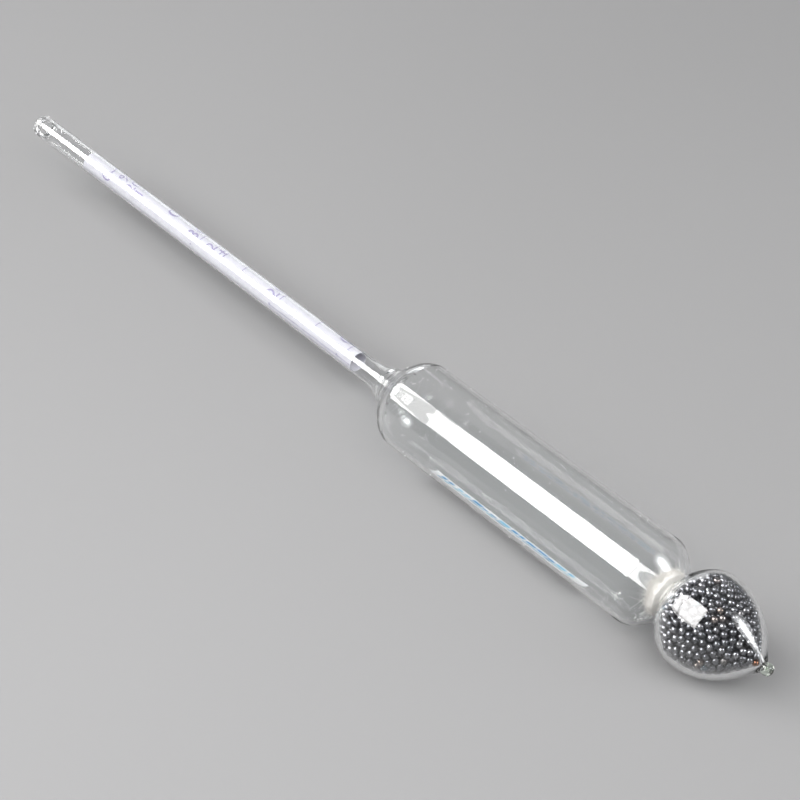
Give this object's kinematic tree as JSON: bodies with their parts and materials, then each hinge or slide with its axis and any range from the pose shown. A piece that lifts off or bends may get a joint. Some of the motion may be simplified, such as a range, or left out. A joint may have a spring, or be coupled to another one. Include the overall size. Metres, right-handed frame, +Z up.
{
  "type": "hydrometer",
  "caption": "Slim sealed glass float with a thin scale stem, a wide hollow body and a shot-filled bulb that makes it float upright.",
  "frame": {"origin": "on the surface the instrument lies on, under the middle of its length", "axes": "+X along the long axis from the sealed stem end to the tip bead; +Z up; +Y to the side"},
  "size_m": [0.2676, 0.0234, 0.0235],
  "materials": {
    "glass": "clear polished glass",
    "weld_glass": "clear flame-worked glass",
    "bead_glass": "clear solid glass, faint green",
    "scale_paper": "white printed paper, faint lavender",
    "label_paper": "white paper with blue print",
    "glue": "clear dried adhesive",
    "cotton": "fuzzy cotton wool",
    "shot": "dark tumbled metal"
  },
  "bodies": {
    "root": {"stem_end_seal": "glass", "stem_tube": "glass", "neck_weld": "weld_glass", "float_body": "glass", "waist_weld": "weld_glass", "ballast_bulb": "glass", "tip_bead": "bead_glass", "scale_paper": "scale_paper", "scale_glue": "glue", "body_label": "label_paper", "label_glue": "glue", "cotton_plug": "cotton", "ballast_shot": "shot", "ballast_core": "shot"}
  },
  "joints": []
}
